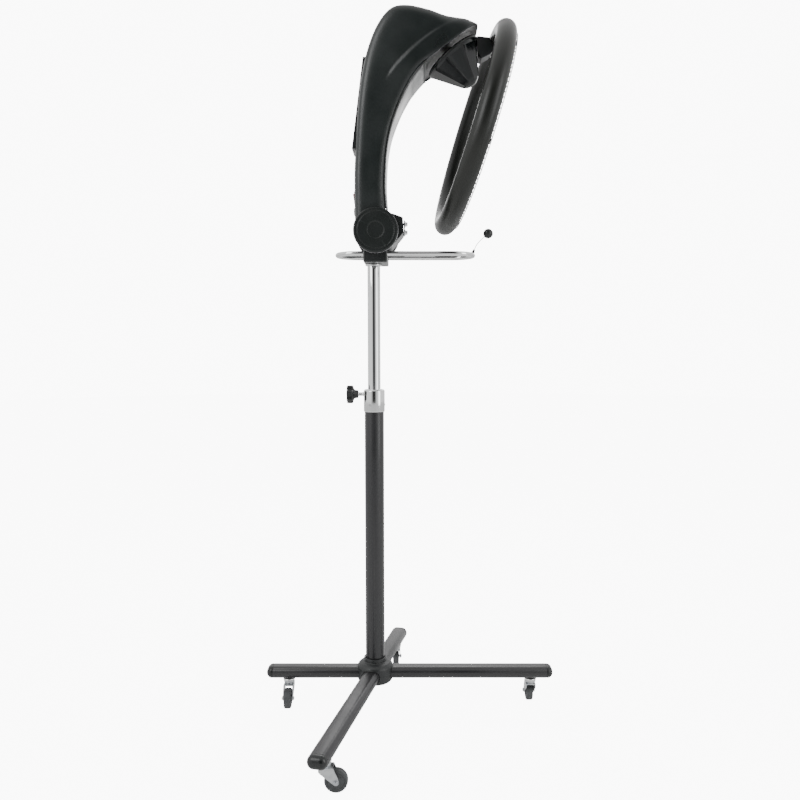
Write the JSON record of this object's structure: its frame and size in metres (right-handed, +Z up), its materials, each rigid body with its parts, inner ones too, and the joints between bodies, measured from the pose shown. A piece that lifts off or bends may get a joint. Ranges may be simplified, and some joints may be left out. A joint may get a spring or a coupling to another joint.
{
  "type": "orbiting-ring hair dryer on a wheeled pedestal",
  "caption": "Pedestal hair dryer and processor: a heating ring orbits on a rotor at the end of a curved tilting arm, over a telescoping chrome mast on a wheeled base.",
  "frame": {"origin": "middle of the bounding box at floor level", "axes": "+Z up; +X the side the arm leans over, along the long and short legs"},
  "size_m": [0.7286, 0.7162, 1.706],
  "materials": {
    "housing": "satin",
    "ring_plastic": "satin",
    "black_plastic": "semi-gloss",
    "hub_plastic": "textured",
    "leg_paint": "satin paint",
    "chrome": "polished",
    "zinc": "zinc plated",
    "steel": "machined",
    "nylon": "natural",
    "wheel_rubber": "matte",
    "red_plastic": "gloss",
    "display_glass": "dark gloss",
    "reflector": "polished",
    "lamp_glass": "frosted",
    "board": "matte"
  },
  "bodies": {
    "stand": {"hub_lower": "hub_plastic", "hub_upper": "hub_plastic", "leg_right": "leg_paint", "leg_left": "leg_paint", "leg_front": "leg_paint", "leg_rear": "leg_paint", "leg_cap_right": "black_plastic", "leg_cap_left": "black_plastic", "leg_cap_front": "black_plastic", "leg_cap_rear": "black_plastic", "column_tube": "leg_paint", "column_collar": "chrome", "guide_bush": "nylon"},
    "clamp": {"clamp_knob": "black_plastic", "clamp_stud": "chrome"},
    "slider": {"slide_bush": "nylon"},
    "mast": {"mast_tube": "chrome", "rail_block": "black_plastic", "handle_rail": "chrome", "mast_washer": "black_plastic", "gauge_socket": "black_plastic", "tilt_knuckle": "black_plastic", "tilt_screw_upper": "chrome", "tilt_screw_lower": "chrome"},
    "gauge": {"gauge_wire": "steel", "gauge_ball": "black_plastic"},
    "head": {"arm_rear_shell": "housing", "arm_front_shell": "housing", "control_panel": "black_plastic", "display_window": "display_glass", "switch_frame": "black_plastic", "cord_gland": "black_plastic", "pivot_shaft": "steel", "pivot_cap_near": "black_plastic", "pivot_cap_far": "black_plastic", "drive_motor": "steel", "rotor_bearing": "steel", "circuit_board": "board", "end_plate": "black_plastic"},
    "key_start": {"key_start": "steel"},
    "key_plus": {"key_plus": "hub_plastic"},
    "key_minus": {"key_minus": "hub_plastic"},
    "rocker": {"power_rocker": "red_plastic"},
    "pinion": {"motor_pinion": "steel"},
    "rotor": {"rotor_shaft": "steel", "rotor_gear": "nylon", "rotor_cone": "black_plastic", "ring_bracket": "black_plastic", "ring_shell": "ring_plastic", "ring_reflector": "reflector", "ring_lamp": "lamp_glass", "ring_guard": "chrome"},
    "fork_right": {"caster_fork_right": "zinc"},
    "wheel_right": {"caster_wheel_right": "wheel_rubber"},
    "fork_left": {"caster_fork_left": "zinc"},
    "wheel_left": {"caster_wheel_left": "wheel_rubber"},
    "fork_front": {"caster_fork_front": "zinc"},
    "wheel_front": {"caster_wheel_front": "wheel_rubber"},
    "fork_rear": {"caster_fork_rear": "zinc"},
    "wheel_rear": {"caster_wheel_rear": "wheel_rubber"}
  },
  "joints": [
    {"name": "clamp_turn", "type": "hinge", "parent": "stand", "child": "clamp", "pos_m": [-0.14825, 0.08512, 0.7965], "axis": [1, 0, 0], "range_deg": [-360, 0]},
    {"name": "mast_height", "type": "slide", "parent": "stand", "child": "slider", "axis": [0, 0, 1], "range_m": [-0.28, 0.22]},
    {"name": "mast_turn", "type": "hinge", "parent": "slider", "child": "mast", "pos_m": [-0.08825, 0.08512, 1], "axis": [0, 0, 1], "continuous": true},
    {"name": "head_tilt", "type": "hinge", "parent": "mast", "child": "head", "pos_m": [-0.08025, 0.08512, 1.1895], "axis": [0, 1, 0], "range_deg": [-30, 8]},
    {"name": "ring_orbit", "type": "hinge", "parent": "head", "child": "rotor", "pos_m": [0.10205, 0.08512, 1.6128], "axis": [-0.606, 0, 0.7955], "continuous": true},
    {"name": "pinion_turn", "type": "hinge", "parent": "head", "child": "pinion", "pos_m": [0.03917, 0.08512, 1.62273], "axis": [-0.606, 0, 0.7955], "continuous": true},
    {"name": "gauge_swing", "type": "hinge", "parent": "mast", "child": "gauge", "pos_m": [0.15875, 0.08512, 1.1523], "axis": [0.4061, 0, 0.9138], "range_deg": [-60, 60]},
    {"name": "key_start_press", "type": "slide", "parent": "head", "child": "key_start", "axis": [0.992, 0, -0.1263], "range_m": [0, 0.0012], "stiffness_N_per_m": 300, "springref_m": -0.001},
    {"name": "key_plus_press", "type": "slide", "parent": "head", "child": "key_plus", "axis": [0.992, 0, -0.1263], "range_m": [0, 0.0012], "stiffness_N_per_m": 300, "springref_m": -0.001},
    {"name": "key_minus_press", "type": "slide", "parent": "head", "child": "key_minus", "axis": [0.992, 0, -0.1263], "range_m": [0, 0.0012], "stiffness_N_per_m": 300, "springref_m": -0.001},
    {"name": "rocker_tip", "type": "hinge", "parent": "head", "child": "rocker", "pos_m": [-0.13269, 0.08512, 1.2765], "axis": [0, 1, 0], "range_deg": [0, 10]},
    {"name": "swivel_right", "type": "hinge", "parent": "stand", "child": "fork_right", "pos_m": [0.30875, 0.08512, 0.07], "axis": [0, 0, 1], "continuous": true},
    {"name": "roll_right", "type": "hinge", "parent": "fork_right", "child": "wheel_right", "pos_m": [0.30875, 0.10912, 0.025], "axis": [1, 0, 0], "continuous": true},
    {"name": "swivel_left", "type": "hinge", "parent": "stand", "child": "fork_left", "pos_m": [-0.30875, 0.08512, 0.07], "axis": [0, 0, 1], "continuous": true},
    {"name": "roll_left", "type": "hinge", "parent": "fork_left", "child": "wheel_left", "pos_m": [-0.30875, 0.06112, 0.025], "axis": [1, 0, 0], "continuous": true},
    {"name": "swivel_front", "type": "hinge", "parent": "stand", "child": "fork_front", "pos_m": [-0.17485, -0.30231, 0.07], "axis": [0, 0, 1], "continuous": true},
    {"name": "roll_front", "type": "hinge", "parent": "fork_front", "child": "wheel_front", "pos_m": [-0.15085, -0.30231, 0.025], "axis": [0, 1, 0], "continuous": true},
    {"name": "swivel_rear", "type": "hinge", "parent": "stand", "child": "fork_rear", "pos_m": [-0.04015, 0.30031, 0.07], "axis": [0, 0, 1], "continuous": true},
    {"name": "roll_rear", "type": "hinge", "parent": "fork_rear", "child": "wheel_rear", "pos_m": [-0.04015, 0.32431, 0.025], "axis": [1, 0, 0], "continuous": true}
  ],
  "couplings": [
    {"joint": "pinion_turn", "follows": "ring_orbit", "ratio": -3.4}
  ]
}
